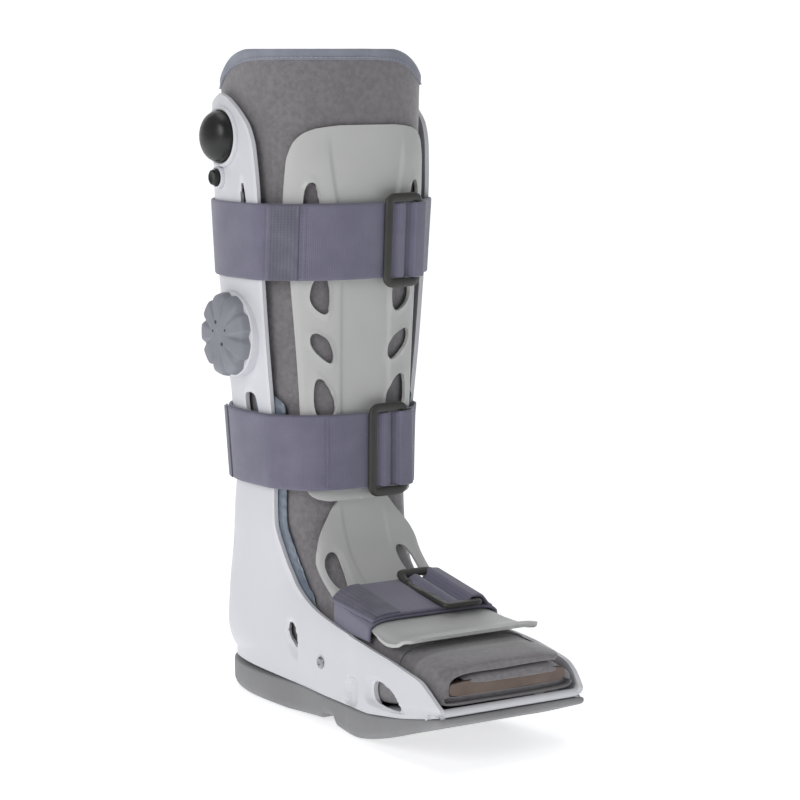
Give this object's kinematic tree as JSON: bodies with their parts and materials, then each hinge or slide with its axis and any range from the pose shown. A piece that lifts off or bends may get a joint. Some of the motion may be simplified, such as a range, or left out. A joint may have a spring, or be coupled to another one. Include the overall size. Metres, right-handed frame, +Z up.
{
  "type": "medical walking boot",
  "caption": "Tall rigid walking boot with a padded liner, rocker sole, front plates, buckled straps, an air bulb and a selector dial.",
  "frame": {"origin": "on the flat heel tread of the sole, below the middle of the leg", "axes": "+Z up along the leg, toe towards -Y, outer side of the leg with its controls towards -X"},
  "size_m": [0.1557, 0.2979, 0.4373],
  "materials": {
    "shell_plastic": "smooth moulded, satin",
    "plate_plastic": "smooth moulded, satin",
    "sole_rubber": "moulded rubber, dull",
    "liner_cloth": "brushed loop cloth over foam",
    "binding_cloth": "folded and stitched band",
    "insole_foam": "cloth-faced foam",
    "cell_vinyl": "glossy soft vinyl",
    "strap_webbing": "woven webbing with loop face",
    "buckle_plastic": "dark moulded, satin",
    "bulb_rubber": "smooth black rubber",
    "dial_plastic": "grey moulded, satin",
    "rivet_steel": "satin steel"
  },
  "bodies": {
    "boot": {"shell": "shell_plastic", "outsole": "sole_rubber", "liner": "liner_cloth", "liner_binding": "binding_cloth", "toe_flap": "liner_cloth", "insole": "insole_foam", "air_cell_outer": "cell_vinyl", "air_cell_inner": "cell_vinyl", "shin_plate": "plate_plastic", "foot_plate": "plate_plastic", "upper_strap": "strap_webbing", "lower_strap": "strap_webbing", "foot_strap": "strap_webbing", "upper_buckle": "buckle_plastic", "lower_buckle": "buckle_plastic", "foot_buckle": "buckle_plastic", "bulb_collar": "shell_plastic", "pump_bulb": "bulb_rubber", "button_collar": "shell_plastic", "dial_seat": "shell_plastic", "rivet": "rivet_steel"},
    "dial": {"dial_knob": "dial_plastic"},
    "button": {"release_button": "bulb_rubber"}
  },
  "joints": [
    {"name": "dial_turn", "type": "hinge", "parent": "boot", "child": "dial", "pos_m": [-0.0626, 0.008, 0.249], "axis": [-1, 0, 0], "range_deg": [-60, 60]},
    {"name": "release_press", "type": "slide", "parent": "boot", "child": "button", "axis": [1, 0, 0], "range_m": [0, 0.0015], "stiffness_N_per_m": 300, "springref_m": -0.001}
  ]
}
